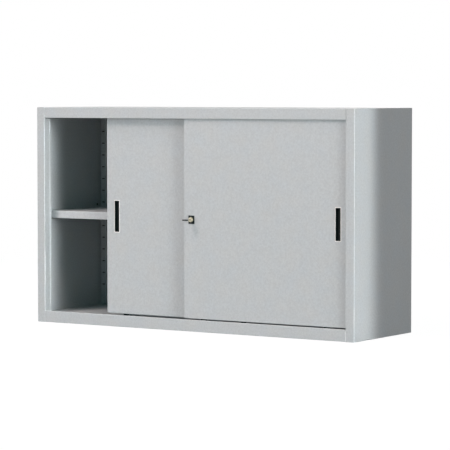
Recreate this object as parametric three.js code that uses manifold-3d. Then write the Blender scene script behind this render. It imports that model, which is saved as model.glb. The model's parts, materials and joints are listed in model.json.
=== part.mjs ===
// A low steel cabinet with two sliding doors, an adjustable shelf and a key lock.
// Millimetres, +Z up, front towards -Y. The origin is at the middle of the base.
import * as THREE from 'three';
import { mergeVertices } from 'three/addons/utils/BufferGeometryUtils.js';
import Module from 'manifold-3d';

const wasm = await Module();
wasm.setup();

// Overall size
const width = 1500;
const depth = 450;
const height = 880;

// Sheet steel: thickness, inside radius of the folds, facets in each fold
const sheet = 1;
const foldInside = 1;
const postFoldInside = 2.5;
const foldFacets = 4;

// Clearances: pieces that touch, pins in their holes, and how far a cut runs past its piece
const seatGap = 0.25;
const pinGap = 0.3;
const cutOverrun = 5;

// Side panels: boxed front post with a bead in its return, rear and foot flanges
const postFace = 39;
const postReturn = 47;
const beadSetback = 28;
const beadWidth = 9;
const beadDepth = 1.5;
const sideRearFlange = 15;
const footFlange = 15;

// Top panel: front rail, its turned lip, and the flanges at the rear and the ends
const topRailHeight = 43;
const railLipDepth = 7;
const topLipUpturn = 8;
const panelFlange = 14;

// Bottom panel: front rail with a raised lip in front of the floor
const bottomRailTop = 47;
const bottomRailLift = 0.5;
const bottomHem = 12;
const floorDrop = 8;

// Back panel and the hat sections that stiffen back, base and shelf
const backInset = 2;
const backHatWidth = 50;
const backHatDepth = 11.5;
const baseHatWidth = 60;
const hatFlange = 15;

// Doors: thickness, distance behind the front face, gap between the two, overlap when shut
const doorThickness = 15;
const doorSetback = 11;
const doorGap = 6;
const doorOverlap = 60;
const doorEndGap = 0.5;
const doorBottomGap = 4;
const doorTopCover = 16;
const doorLip = 10;
const leftDoorOpen = 291;

// Stiffener inside each door
const doorHatWidth = 90;
const doorHatEndGap = 30;

// Recessed pulls: rim, cup, pale frame round the rim and their places on the doors
const pullLength = 125;
const pullWidth = 21.5;
const pullRim = 1.2;
const pullCorner = 2.5;
const pullBorder = 1;
const pullWall = 1.2;
const pullDepth = 11.5;
const pullFrameWidth = 3.2;
const pullHeight = 391.5;
const leftPullInset = 50;
const rightPullInset = 37.5;

// Tracks: running beads below, guide channels above
const railBeadWidth = 3;
const railBeadHeight = 2.75;
const trackMargin = 9;
const channelWidth = 8;
const channelBottom = 22;

// Rollers with their brackets and axles
const rollerRadius = 16;
const rollerGroove = 2;
const rollerWidth = 7;
const grooveWidth = 3.8;
const axleRadius = 2.5;
const rollerInset = 90;
const bracketPlate = 1.25;
const bracketHalfLength = 21;
const bracketHeadroom = 2;
const rollerFacets = 28;

// Top guides
const guideInset = 70;
const guideFootLength = 42;
const guideFootWidth = 11;
const guideFootHeight = 3;
const guideLength = 30;
const guideBlade = 6;
const guideHeight = 19;

// Racks, shelf and shelf clips
const rackWidth = 27;
const rearRackDepth = 11.5;
const frontRackDepth = 11.5;
const firstSlotAboveFloor = 86;
const slotPitch = 50;
const slotTopMargin = 80;
const slotLength = 15;
const slotHeight = 4;
const slotOffset = 3;
const shelfSlot = 6;
const shelfThickness = 30;
const shelfSetback = 61;
const shelfRearGap = 2;
const shelfEndGap = 4;
const shelfHem = 12;
const shelfUpturn = 8;
const shelfSideFlange = 15;
const shelfHatWidth = 50;
const shelfHatDepth = 13;
const clipWidth = 13;
const clipPlate = 1.5;
const clipHook = 12.5;
const clipReach = 3;

// Plug in the left wall, above the shelf and near the rear rack
const plugRadius = 3.5;
const plugHead = 1;
const plugHeadRadius = 4.5;
const plugFromBack = 36;
const plugHeight = 466;
const plugFacets = 20;

// Lock: plate, barrel, nut, turning plug, cam, cam screw and keeper
const lockInset = 36;
const lockHeight = 390;
const lockFacets = 32;
const lockPlateWidth = 27;
const lockPlateHeight = 33;
const lockPlateThickness = 2.5;
const lockPlateCorner = 2;
const barrelCollarRadius = 9.5;
const barrelRadius = 8.5;
const barrelFront = 10;
const barrelRear = 12.5;
const barrelChamfer = 0.8;
const lockPlugRadius = 6;
const lockPlugProud = 0.75;
const nutRadius = 13;
const nutThickness = 4;
const camClearance = 1;
const camThickness = 2;
const camBossRadius = 7;
const camTipRadius = 5;
const camReach = 26;
const camScrewRadius = 1.75;
const camScrewHead = 1;
const camScrewHeadRadius = 4;
const camScrewLength = 5;
const keeperWidth = 10.5;
const keeperGap = 7.5;
const keeperDepth = 4;
const keeperPlate = 1;
const keeperTop = 14;
const keeperTongue = 14;
const keeperMargin = 5;

// Key: steel blade whose tang sits in a moulded bow
const keyThickness = 2;
const keyWidth = 8;
const keyInserted = 19.5;
const keyBowRadius = 12;
const keyBowThickness = 4.5;
const keyBowHole = 2.5;
const keyBowRing = 2.5;
const keyOut = 56;
const keyNotch = 1.6;
const keyNotchShares = [0.18, 0.38, 0.55, 0.78];
const keyNotchDepthShares = [0.7, 1, 0.5, 0.85];
const keyFacets = 36;

// Places worked out from the sizes above
const halfWidth = width / 2;
const frontY = -depth / 2;
const backY = depth / 2;
const openingHalf = halfWidth - postFace;
const returnRear = frontY + postReturn;
const sideRear = backY - sheet - seatGap;
const floorTop = bottomRailTop - floorDrop;
const panelHalf = halfWidth - sheet - seatGap;
const railHalf = openingHalf - seatGap;
const behindPost = returnRear + seatGap;
const wingRear = sideRear - sheet - foldInside;
const rackSeat = sideRear - sheet - seatGap;
const railLipY = frontY + railLipDepth;

const doorWidth = openingHalf - doorEndGap + doorOverlap / 2;
const doorBottom = bottomRailTop + doorBottomGap;
const doorTop = height - topRailHeight + doorTopCover;
const doorHeight = doorTop - doorBottom;
const rightDoorY = frontY + doorSetback;
const leftDoorY = rightDoorY + doorThickness + doorGap;
const rightDoorX = openingHalf - doorEndGap - doorWidth / 2;
const leftDoorX = -rightDoorX + leftDoorOpen;
const rightTrackY = rightDoorY + doorThickness / 2;
const leftTrackY = leftDoorY + doorThickness / 2;

const trackBase = floorTop + seatGap;
const railTop = trackBase + sheet + railBeadHeight;
const grooveRadius = rollerRadius - rollerGroove;
const axleHeight = railTop + seatGap + grooveRadius - doorBottom;
const rollerX = doorWidth / 2 - rollerInset;

const rackTop = height - sheet - foldInside;
const rackOuterX = -panelHalf + sheet + seatGap;
const rackCentreX = rackOuterX + rackWidth / 2;
const slotX = rackCentreX + slotOffset;
const frontRackFace = behindPost + frontRackDepth;
const rearRackFace = rackSeat - rearRackDepth;
const firstSlot = floorTop + firstSlotAboveFloor;
const slotCount = Math.floor((height - slotTopMargin - firstSlot) / slotPitch) + 1;
const clipBottom = firstSlot + shelfSlot * slotPitch - slotHeight / 2 + seatGap;
const clipTop = clipBottom + clipPlate;
const shelfBottom = clipTop + seatGap;
const shelfTop = shelfBottom + shelfThickness;
const shelfFront = frontY + shelfSetback;
const shelfRear = rearRackFace - shelfRearGap;
const shelfHalf = panelHalf + seatGap - shelfEndGap;

const lockX = lockInset - doorWidth / 2;
const camFront = doorThickness + camClearance;
const lockPlugRear = camFront - seatGap;
const lockPlugFront = -barrelFront - lockPlugProud;
const barrelBore = lockPlugRadius + pinGap;
const keyBowY = keyBowRadius - keyOut;

// Finishes
function finish(colour, roughness, metalness) {
  return new THREE.MeshStandardMaterial({ color: colour, roughness, metalness });
}
const greyPaint = finish(0xc1c3c4, 0.5, 0);
const zincSteel = finish(0x9aa0a2, 0.4, 0.8);
const nylon = finish(0xe4e2da, 0.45, 0);
const blackPlastic = finish(0x0f1d1d, 0.45, 0);
const palePlastic = finish(0xdcdcd8, 0.4, 0);
const nickel = finish(0xd7d2bd, 0.25, 0.9);
const darkSteel = finish(0x3a3b38, 0.35, 0.8);
const darkRubber = finish(0x20282a, 0.7, 0);

// Face of a folded sheet as a path with rounded folds, moved to the right of the walk by offset.
// A corner is [u, v] or [u, v, inside radius of its fold].
function facePath(corners, offset) {
  const points = [];
  const heading = (a, b) => new THREE.Vector2(b[0] - a[0], b[1] - a[1]).normalize();
  const rightOf = (d) => new THREE.Vector2(d.y, -d.x);
  const last = corners.length - 1;
  corners.forEach((corner, i) => {
    const at = new THREE.Vector2(corner[0], corner[1]);
    if (i === 0 || i === last) {
      const d = i === 0 ? heading(corner, corners[1]) : heading(corners[last - 1], corner);
      points.push(at.addScaledVector(rightOf(d), offset));
      return;
    }
    const d1 = heading(corners[i - 1], corner);
    const d2 = heading(corner, corners[i + 1]);
    const n1 = rightOf(d1);
    const n2 = rightOf(d2);
    const mitre = n1.clone().add(n2).divideScalar(1 + n1.dot(n2));
    const inside = corner[2] ?? foldInside;
    const turnsRight = d1.cross(d2) < 0;
    const reach = turnsRight ? inside + sheet : -inside;
    const centre = at.addScaledVector(mitre, reach);
    const turn = Math.atan2(n1.cross(n2), n1.dot(n2));
    const facets = Math.max(2, Math.round(foldFacets * Math.abs(turn) / (Math.PI / 2)));
    for (let k = 0; k <= facets; k += 1) {
      const normal = n1.clone().rotateAround(new THREE.Vector2(), turn * k / facets);
      points.push(centre.clone().addScaledVector(normal, offset - reach));
    }
  });
  return points;
}

// Closed outline of a folded sheet. The thickness lies to the right of the walk along the corners.
function foldedSheet(corners) {
  return [...facePath(corners, 0), ...facePath(corners, sheet).reverse()];
}

function mirrored(points, hand) {
  return points.map((p) => new THREE.Vector2(p.x * hand, p.y));
}

function extruded(outline, length) {
  const shape = outline instanceof THREE.Shape ? outline : new THREE.Shape(outline);
  return new THREE.ExtrudeGeometry(shape, {
    depth: length,
    bevelEnabled: false,
    curveSegments: lockFacets / 2,
  });
}

const alongXBasis = new THREE.Matrix4().makeBasis(
  new THREE.Vector3(0, 1, 0),
  new THREE.Vector3(0, 0, 1),
  new THREE.Vector3(1, 0, 0),
);
const alongYBasis = new THREE.Matrix4().makeBasis(
  new THREE.Vector3(1, 0, 0),
  new THREE.Vector3(0, 0, 1),
  new THREE.Vector3(0, -1, 0),
);

// Outline in (y, z), run from x = from to x = to
function alongX(outline, from, to) {
  return extruded(outline, to - from).applyMatrix4(alongXBasis).translate(from, 0, 0);
}

// Outline in (x, z), run from y = from to y = to
function alongY(outline, from, to) {
  return extruded(outline, to - from).applyMatrix4(alongYBasis).translate(0, to, 0);
}

// Outline in (x, y), run from z = from to z = to
function alongZ(outline, from, to) {
  return extruded(outline, to - from).translate(0, 0, from);
}

// Block between two corners
function block([x0, y0, z0], [x1, y1, z1]) {
  const box = new THREE.BoxGeometry(x1 - x0, y1 - y0, z1 - z0);
  return box.translate((x0 + x1) / 2, (y0 + y1) / 2, (z0 + z1) / 2);
}

// Cylinder along Y between two places
function rod(radius, from, to, facets) {
  return new THREE.CylinderGeometry(radius, radius, to - from, facets).translate(0, (from + to) / 2, 0);
}

function roundedRectangle(wide, high, radius) {
  const x = wide / 2 - radius;
  const y = high / 2 - radius;
  const shape = new THREE.Shape();
  shape.absarc(x, y, radius, 0, Math.PI / 2);
  shape.absarc(-x, y, radius, Math.PI / 2, Math.PI);
  shape.absarc(-x, -y, radius, Math.PI, Math.PI * 3 / 2);
  shape.absarc(x, -y, radius, Math.PI * 3 / 2, Math.PI * 2);
  return new THREE.Shape(shape.getPoints(foldFacets));
}

function solid(geometry) {
  const bare = geometry.clone();
  bare.deleteAttribute('normal');
  bare.deleteAttribute('uv');
  const merged = mergeVertices(bare);
  return new wasm.Manifold(new wasm.Mesh({
    numProp: 3,
    vertProperties: new Float32Array(merged.attributes.position.array),
    triVerts: new Uint32Array(merged.index.array),
  }));
}

function joined(...geometries) {
  return geometries.map(solid).reduce((whole, next) => whole.add(next));
}

function cut(body, ...geometries) {
  return geometries.map(solid).reduce((whole, next) => whole.subtract(next), body);
}

function geometryOf(body) {
  const mesh = body.getMesh();
  const geometry = new THREE.BufferGeometry();
  geometry.setAttribute('position', new THREE.BufferAttribute(mesh.vertProperties, mesh.numProp));
  geometry.setIndex(new THREE.BufferAttribute(mesh.triVerts, 1));
  geometry.computeVertexNormals();
  return geometry;
}

function piece(name, geometry, material, position = [0, 0, 0]) {
  const mesh = new THREE.Mesh(geometry, material);
  mesh.name = name;
  mesh.position.set(...position);
  return mesh;
}

// Side panel: hand 1 is the left one, -1 its mirror image
function sidePanel(hand, holes = []) {
  const wall = -halfWidth;
  const face = -openingHalf;
  const beadStart = frontY + beadSetback;
  const beadEnd = beadStart + beadWidth;
  const beadFloor = face - beadDepth;
  const post = [
    [wall + sheet + seatGap, returnRear],
    [face, returnRear],
    [face, beadEnd],
    [beadFloor, beadEnd - beadDepth],
    [beadFloor, beadStart + beadDepth],
    [face, beadStart],
    [face, frontY, postFoldInside],
    [wall, frontY, postFoldInside],
  ];
  const corners = [...post, [wall, sideRear], [wall + sideRearFlange, sideRear]];
  const capRim = facePath([...post, [wall, returnRear]], sheet / 2);
  const footInner = wall + footFlange;
  const body = joined(
    alongZ(mirrored(foldedSheet(corners), hand), 0, height),
    alongZ(mirrored(capRim, hand), height - sheet, height),
    block(
      [Math.min(hand * (wall + sheet / 2), hand * footInner), behindPost, 0],
      [Math.max(hand * (wall + sheet / 2), hand * footInner), wingRear, sheet],
    ),
  );
  return geometryOf(cut(body, ...holes));
}

// Sheet over the end of a panel, outside the rails, with its flange turned down
function panelWing(hand, top) {
  const corners = [
    [-panelHalf, top - panelFlange],
    [-panelHalf, top],
    [-railHalf + panelFlange, top],
  ];
  return alongY(mirrored(foldedSheet(corners), hand), behindPost, wingRear);
}

function topPanel() {
  const corners = [
    [railLipY, height - topRailHeight + topLipUpturn],
    [railLipY, height - topRailHeight],
    [frontY, height - topRailHeight],
    [frontY, height],
    [sideRear, height],
    [sideRear, height - panelFlange],
  ];
  const middle = alongX(foldedSheet(corners), -railHalf, railHalf);
  return geometryOf(joined(middle, panelWing(1, height), panelWing(-1, height)));
}

function bottomPanel() {
  const corners = [
    [frontY + bottomHem, bottomRailLift],
    [frontY, bottomRailLift],
    [frontY, bottomRailTop],
    [railLipY, bottomRailTop],
    [railLipY, floorTop],
    [sideRear, floorTop],
    [sideRear, floorTop - panelFlange],
  ];
  const middle = alongX(foldedSheet(corners), -railHalf, railHalf);
  return geometryOf(joined(middle, panelWing(1, floorTop), panelWing(-1, floorTop)));
}

function backPanel() {
  const half = halfWidth - backInset;
  return block([-half, backY - sheet, backInset], [half, backY, height - backInset]);
}

// Corners of a hat section in (across, out): flanges at seat, crown at seat + rise
function hatCorners(wide, seat, rise) {
  const half = wide / 2;
  return [
    [-half - hatFlange, seat],
    [-half, seat],
    [-half, seat + rise],
    [half, seat + rise],
    [half, seat],
    [half + hatFlange, seat],
  ];
}

function backStiffener() {
  const outline = foldedSheet(hatCorners(backHatWidth, sideRear, sheet - backHatDepth));
  return alongZ(outline, trackBase, height - panelFlange - seatGap);
}

// Stands on its crown, so its middle is the base of the cabinet
function baseStiffener() {
  const seat = floorTop - sheet - seatGap;
  const outline = foldedSheet(hatCorners(baseHatWidth, seat, sheet - seat));
  return alongY(outline, frontY + bottomHem + seatGap, wingRear);
}

function shelfStiffener() {
  const seat = shelfTop - sheet - seatGap;
  const outline = foldedSheet(hatCorners(shelfHatWidth, seat, -shelfHatDepth));
  const middle = (shelfFront + shelfRear) / 2;
  const half = shelfHalf - sheet - seatGap;
  return alongX(outline, -half, half).translate(0, middle, 0);
}

function bottomTrack() {
  const rear = leftTrackY + trackMargin;
  const front = rightTrackY - trackMargin;
  const surface = trackBase + sheet;
  const beadRadius = railBeadWidth / 2;
  const bead = (shape, centre) => {
    shape.lineTo(centre + beadRadius, surface);
    shape.absarc(centre, railTop - beadRadius, beadRadius, 0, Math.PI);
    shape.lineTo(centre - beadRadius, surface);
  };
  const shape = new THREE.Shape();
  shape.moveTo(front, trackBase);
  shape.lineTo(rear, trackBase);
  shape.lineTo(rear, surface);
  bead(shape, leftTrackY);
  bead(shape, rightTrackY);
  shape.lineTo(front, surface);
  return alongX(shape.getPoints(foldFacets * 2), -railHalf, railHalf);
}

function topTrack() {
  const web = height - sheet * 2 - seatGap;
  const low = height - channelBottom;
  const half = channelWidth / 2;
  const channel = (centre) => [
    [centre + half, low],
    [centre + half, web],
    [centre - half, web],
    [centre - half, low],
  ];
  return alongX(foldedSheet([...channel(leftTrackY), ...channel(rightTrackY)]), -railHalf, railHalf);
}

// Slotted rack. The face with the slots lies at faceY, and the legs run back to seatY.
function rack(hand, faceY, seatY) {
  const inner = rackOuterX + rackWidth;
  const into = Math.sign(seatY - faceY);
  const corners = [
    [rackOuterX, seatY],
    [rackOuterX, faceY],
    [inner, faceY],
    [inner, seatY],
  ];
  const walk = into > 0 ? corners.reverse() : corners;
  const slots = Array.from({ length: slotCount }, (_, i) => {
    const z = firstSlot + i * slotPitch;
    const x = hand * slotX;
    return block(
      [x - slotLength / 2, faceY - cutOverrun, z - slotHeight / 2],
      [x + slotLength / 2, faceY + cutOverrun, z + slotHeight / 2],
    );
  });
  const channel = alongZ(mirrored(foldedSheet(walk), hand), trackBase, rackTop);
  return geometryOf(cut(solid(channel), ...slots));
}

function shelf() {
  const corners = [
    [shelfFront + shelfHem, shelfBottom + shelfUpturn],
    [shelfFront + shelfHem, shelfBottom],
    [shelfFront, shelfBottom],
    [shelfFront, shelfTop],
    [shelfRear, shelfTop],
    [shelfRear, shelfBottom],
    [shelfRear - shelfHem, shelfBottom],
  ];
  const low = shelfTop - shelfSideFlange;
  const high = shelfTop - sheet / 2;
  const from = shelfFront + sheet / 2;
  const to = shelfRear - sheet / 2;
  return geometryOf(joined(
    alongX(foldedSheet(corners), -shelfHalf, shelfHalf),
    block([-shelfHalf, from, low], [-shelfHalf + sheet, to, high]),
    block([shelfHalf - sheet, from, low], [shelfHalf, to, high]),
  ));
}

// Clip hooked into a rack slot. It reaches from the rack face to under the shelf hem.
function shelfClip(faceY, reachY) {
  const into = Math.sign(faceY - reachY);
  const hookNear = faceY + into * (sheet + seatGap);
  const hookFar = hookNear + into * clipPlate;
  const outline = [
    [reachY, clipBottom],
    [hookNear, clipBottom],
    [hookNear, clipTop - clipHook],
    [hookFar, clipTop - clipHook],
    [hookFar, clipTop],
    [reachY, clipTop],
  ];
  const points = outline.map(([y, z]) => new THREE.Vector2(y, z));
  return alongX(points, -clipWidth / 2, clipWidth / 2);
}

// Plug pressed into a hole of the left wall: shank through the sheet, head inside
function wallPlug() {
  const inner = -halfWidth + sheet;
  const radius = plugRadius - pinGap;
  const shank = new THREE.CylinderGeometry(radius, radius, sheet + plugHead, plugFacets);
  const head = new THREE.CylinderGeometry(plugHeadRadius, plugHeadRadius, plugHead, plugFacets);
  shank.rotateZ(Math.PI / 2).translate(inner + (plugHead + seatGap - sheet) / 2, 0, 0);
  head.rotateZ(Math.PI / 2).translate(inner + seatGap + plugHead / 2, 0, 0);
  return geometryOf(joined(shank, head)).translate(0, backY - plugFromBack, plugHeight);
}

function wallHole() {
  const hole = new THREE.CylinderGeometry(plugRadius, plugRadius, cutOverrun * 2, plugFacets);
  return hole.rotateZ(Math.PI / 2).translate(-halfWidth, backY - plugFromBack, plugHeight);
}

// Door pieces are drawn with x from the middle of the door, y from its front face
// and z from its bottom edge.

// Slab with rounded edges, drawn smaller by inset on every side
function doorSlab(inset) {
  const radius = foldInside + sheet - inset;
  const thick = doorThickness - inset * 2;
  const wide = roundedRectangle(doorWidth - inset * 2, thick, radius);
  const high = roundedRectangle(thick, doorHeight - inset * 2, radius);
  const plan = alongZ(wide, inset, doorHeight - inset).translate(0, doorThickness / 2, 0);
  const half = doorWidth / 2 - inset;
  const section = alongX(high, -half, half).translate(0, doorThickness / 2, doorHeight / 2);
  return solid(plan).intersect(solid(section));
}

function rollerWindow(x) {
  const half = rollerRadius + bracketHeadroom;
  const side = rollerWidth / 2 + sheet;
  const middle = doorThickness / 2;
  return block(
    [x - half, middle - side, -cutOverrun],
    [x + half, middle + side, sheet + seatGap],
  );
}

function pullHole(x) {
  const wide = pullWidth - pullBorder * 2 + seatGap * 2;
  const high = pullLength - pullBorder * 2 + seatGap * 2;
  const outline = roundedRectangle(wide, high, pullCorner);
  return alongY(outline, -cutOverrun, sheet + foldInside).translate(x, 0, pullHeight);
}

function lockHole() {
  const hole = rod(barrelRadius + pinGap, -cutOverrun, sheet + foldInside, lockFacets);
  return hole.translate(lockX, 0, lockHeight);
}

function doorSkin(...holes) {
  const backHalf = doorWidth / 2 - doorLip;
  const opening = block(
    [-backHalf, doorThickness / 2, doorLip],
    [backHalf, doorThickness + cutOverrun, doorHeight - doorLip],
  );
  const shell = doorSlab(0).subtract(doorSlab(sheet));
  return geometryOf(cut(shell, opening, rollerWindow(-rollerX), rollerWindow(rollerX), ...holes));
}

function doorStiffener() {
  const seat = sheet + seatGap + sheet;
  const rise = doorThickness - sheet - seatGap - seat;
  const outline = foldedSheet(hatCorners(doorHatWidth, seat, rise));
  return alongZ(outline, doorHatEndGap, doorHeight - doorHatEndGap);
}

function pull() {
  const cupWide = pullWidth - pullBorder * 2;
  const cupHigh = pullLength - pullBorder * 2;
  const rim = roundedRectangle(pullWidth, pullLength, pullCorner);
  const cup = roundedRectangle(cupWide, cupHigh, pullCorner - seatGap);
  const pocket = roundedRectangle(cupWide - pullWall * 2, cupHigh - pullWall * 2, pullCorner - pullWall);
  const front = -seatGap - pullRim;
  const body = joined(alongY(rim, front, -seatGap), alongY(cup, front, pullDepth));
  return geometryOf(cut(body, alongY(pocket, front - cutOverrun, pullDepth - pullWall)));
}

function pullFrame() {
  const outer = roundedRectangle(
    pullWidth + (seatGap + pullFrameWidth) * 2,
    pullLength + (seatGap + pullFrameWidth) * 2,
    pullCorner + pullFrameWidth,
  );
  const inner = roundedRectangle(pullWidth + seatGap * 2, pullLength + seatGap * 2, pullCorner + seatGap);
  const plate = alongY(outer, -seatGap - pullRim, -seatGap);
  return geometryOf(cut(solid(plate), alongY(inner, -pullRim - cutOverrun, cutOverrun)));
}

function rollerBracket() {
  const front = sheet + seatGap;
  const rear = doorThickness - front;
  const low = sheet + foldInside;
  const high = axleHeight + rollerRadius + bracketHeadroom;
  const outside = block([-bracketHalfLength, front, low], [bracketHalfLength, rear, high + bracketPlate]);
  const inside = block(
    [-bracketHalfLength - cutOverrun, front + bracketPlate, low - cutOverrun],
    [bracketHalfLength + cutOverrun, rear - bracketPlate, high],
  );
  const bore = rod(axleRadius + pinGap, -cutOverrun, doorThickness + cutOverrun, rollerFacets);
  return geometryOf(cut(solid(outside), inside, bore.translate(0, 0, axleHeight)));
}

function rollerAxle() {
  const end = sheet + seatGap;
  return rod(axleRadius, end, doorThickness - end, rollerFacets);
}

// Grooved roller, drawn around the middle of its axle
function roller() {
  const side = rollerWidth / 2;
  const groove = grooveWidth / 2;
  const bore = axleRadius + pinGap;
  const hub = (bore + rollerRadius) / 2;
  const profile = [
    [bore, -side],
    [rollerRadius - sheet / 2, -side],
    [rollerRadius, -side + sheet / 2],
    [rollerRadius, -groove],
    [grooveRadius, -groove + rollerGroove / 4],
    [grooveRadius, groove - rollerGroove / 4],
    [rollerRadius, groove],
    [rollerRadius, side - sheet / 2],
    [rollerRadius - sheet / 2, side],
    [hub, side],
    [hub - sheet, side - sheet],
    [bore, side - sheet],
    [bore, -side],
  ];
  return new THREE.LatheGeometry(profile.map(([r, y]) => new THREE.Vector2(r, y)), rollerFacets);
}

function topGuide() {
  const middle = doorThickness / 2;
  const low = doorHeight + seatGap;
  const foot = block(
    [-guideFootLength / 2, middle - guideFootWidth / 2, low],
    [guideFootLength / 2, middle + guideFootWidth / 2, low + guideFootHeight],
  );
  const blade = roundedRectangle(guideLength, guideBlade, guideBlade / 3);
  const upright = alongZ(blade, low + guideFootHeight / 2, doorHeight + guideHeight);
  return geometryOf(joined(foot, upright.translate(0, middle, 0)));
}

// Keeper on the front of the rear door, a tongue on a thin plate under the cam
function lockKeeper() {
  const right = -keeperGap;
  const left = right - keeperWidth;
  const seat = -seatGap;
  const tongueTop = -keeperTop;
  const tongueLow = tongueTop - keeperTongue;
  return geometryOf(joined(
    block([left, seat - keeperDepth, tongueLow], [right, seat, tongueTop]),
    block([left, seat - keeperPlate, tongueLow - keeperMargin], [right, seat, tongueTop + keeperMargin]),
  ));
}

// Lock pieces are drawn around the lock's axis, which runs along Y

function lockPlate() {
  const outline = roundedRectangle(lockPlateWidth, lockPlateHeight, lockPlateCorner);
  const plate = alongY(outline, -seatGap - lockPlateThickness, -seatGap);
  const bore = rod(barrelRadius + pinGap, -lockPlateThickness - cutOverrun, cutOverrun, lockFacets);
  return geometryOf(cut(solid(plate), bore));
}

function lockBarrel() {
  const collarRear = -seatGap * 2 - lockPlateThickness;
  const profile = [
    [barrelBore, -barrelFront],
    [barrelCollarRadius - barrelChamfer, -barrelFront],
    [barrelCollarRadius, barrelChamfer - barrelFront],
    [barrelCollarRadius, collarRear],
    [barrelRadius, collarRear],
    [barrelRadius, barrelRear],
    [barrelBore, barrelRear],
    [barrelBore, -barrelFront],
  ];
  return new THREE.LatheGeometry(profile.map(([r, y]) => new THREE.Vector2(r, y)), lockFacets);
}

function lockNut() {
  const front = sheet + seatGap;
  const hexagon = rod(nutRadius, front, front + nutThickness, 6);
  return geometryOf(cut(solid(hexagon), rod(barrelRadius + pinGap, -cutOverrun, barrelRear, lockFacets)));
}

function lockPlug() {
  const body = rod(lockPlugRadius, lockPlugFront, lockPlugRear, lockFacets);
  const keyway = block(
    [-keyWidth / 2 - pinGap, lockPlugFront - cutOverrun, -keyThickness / 2 - pinGap],
    [keyWidth / 2 + pinGap, lockPlugFront + keyInserted + pinGap, keyThickness / 2 + pinGap],
  );
  const tappedEnd = lockPlugRear - camScrewLength - pinGap;
  const tapped = rod(camScrewRadius + pinGap, tappedEnd, camFront + cutOverrun, lockFacets);
  return geometryOf(cut(solid(body), keyway, tapped));
}

function lockCam() {
  const tip = camReach - camTipRadius;
  const shape = new THREE.Shape();
  shape.absarc(0, 0, camBossRadius, Math.PI / 2, Math.PI * 3 / 2);
  shape.absarc(tip, 0, camTipRadius, -Math.PI / 2, Math.PI / 2);
  const body = alongY(shape.getPoints(foldFacets * 2), camFront, camFront + camThickness);
  const bore = rod(camScrewRadius + pinGap, camFront - cutOverrun, camFront + cutOverrun, lockFacets);
  return geometryOf(cut(solid(body), bore));
}

function lockCamScrew() {
  const seat = camFront + camThickness + seatGap;
  const head = rod(camScrewHeadRadius, seat, seat + camScrewHead, lockFacets);
  const shank = rod(camScrewRadius, lockPlugRear - camScrewLength, seat + camScrewHead / 2, lockFacets);
  return geometryOf(joined(head, shank));
}

function lockKey() {
  const half = keyThickness / 2;
  const tipY = lockPlugFront + keyInserted;
  const blade = block([-keyWidth / 2, keyBowY, -half], [keyWidth / 2, tipY, half]);
  const notches = keyNotchShares.map((share, i) => {
    const y = lockPlugFront + keyInserted * share;
    const deep = keyNotch * keyNotchDepthShares[i];
    return block(
      [keyWidth / 2 - deep, y, -keyThickness],
      [keyWidth / 2 + cutOverrun, y + keyNotch, keyThickness],
    );
  });
  return geometryOf(cut(solid(blade), ...notches));
}

// Bow of the key, a thick disc with a pocket for the blade's tang and a hole for a ring
function lockKeyBow() {
  const disc = (radius, thickness) => new THREE.CylinderGeometry(radius, radius, thickness, keyFacets)
    .rotateX(Math.PI / 2);
  const wide = keyWidth / 2 + seatGap;
  const high = keyThickness / 2 + seatGap;
  const pocket = block([-wide, -seatGap, -high], [wide, keyBowRadius + cutOverrun, high]);
  const holeY = keyBowRing + keyBowHole - keyBowRadius;
  const hole = disc(keyBowHole, keyBowThickness * 2).translate(0, holeY, 0);
  const bow = cut(solid(disc(keyBowRadius, keyBowThickness)), pocket, hole);
  return geometryOf(bow).translate(0, keyBowY, 0);
}

function carcass() {
  const group = new THREE.Group();
  group.add(
    piece('left_side_panel', sidePanel(1, [wallHole()]), greyPaint),
    piece('right_side_panel', sidePanel(-1), greyPaint),
    piece('top_panel', topPanel(), greyPaint),
    piece('bottom_panel', bottomPanel(), greyPaint),
    piece('back_panel', backPanel(), greyPaint),
    piece('back_stiffener', backStiffener(), greyPaint),
    piece('base_stiffener', baseStiffener(), greyPaint),
    piece('top_track', topTrack(), zincSteel),
    piece('bottom_track', bottomTrack(), zincSteel),
    piece('shelf', shelf(), greyPaint),
    piece('shelf_stiffener', shelfStiffener(), greyPaint),
    piece('left_wall_plug', wallPlug(), darkRubber),
  );
  for (const [side, hand] of [['left', 1], ['right', -1]]) {
    const clipX = hand * slotX;
    const frontClip = shelfClip(frontRackFace, shelfFront + shelfHem + clipReach);
    const rearClip = shelfClip(rearRackFace, shelfRear - shelfHem - clipReach);
    group.add(
      piece(`${side}_front_rack`, rack(hand, frontRackFace, behindPost), greyPaint),
      piece(`${side}_rear_rack`, rack(hand, rearRackFace, rackSeat), greyPaint),
      piece(`${side}_front_shelf_clip`, frontClip, darkSteel, [clipX, 0, 0]),
      piece(`${side}_rear_shelf_clip`, rearClip, darkSteel, [clipX, 0, 0]),
    );
  }
  return group;
}

// What both doors carry: skin, stiffener, pull, guides, and rollers on their brackets
function door(side, x, y, pullX, holes) {
  const group = new THREE.Group();
  group.position.set(x, y, doorBottom);
  group.add(
    piece(`${side}_door_skin`, doorSkin(pullHole(pullX), ...holes), greyPaint),
    piece(`${side}_door_stiffener`, doorStiffener(), greyPaint),
    piece(`${side}_door_pull`, pull(), blackPlastic, [pullX, 0, pullHeight]),
    piece(`${side}_door_pull_frame`, pullFrame(), palePlastic, [pullX, 0, pullHeight]),
  );
  for (const [end, way] of [['left', -1], ['right', 1]]) {
    const guideX = way * (doorWidth / 2 - guideInset);
    const wheelX = way * rollerX;
    const name = `${side}_door_${end}`;
    group.add(
      piece(`${name}_guide`, topGuide(), nylon, [guideX, 0, 0]),
      piece(`${name}_bracket`, rollerBracket(), zincSteel, [wheelX, 0, 0]),
      piece(`${name}_axle`, rollerAxle(), zincSteel, [wheelX, 0, axleHeight]),
      piece(`${name}_roller`, roller(), blackPlastic, [wheelX, doorThickness / 2, axleHeight]),
    );
  }
  return group;
}

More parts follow.
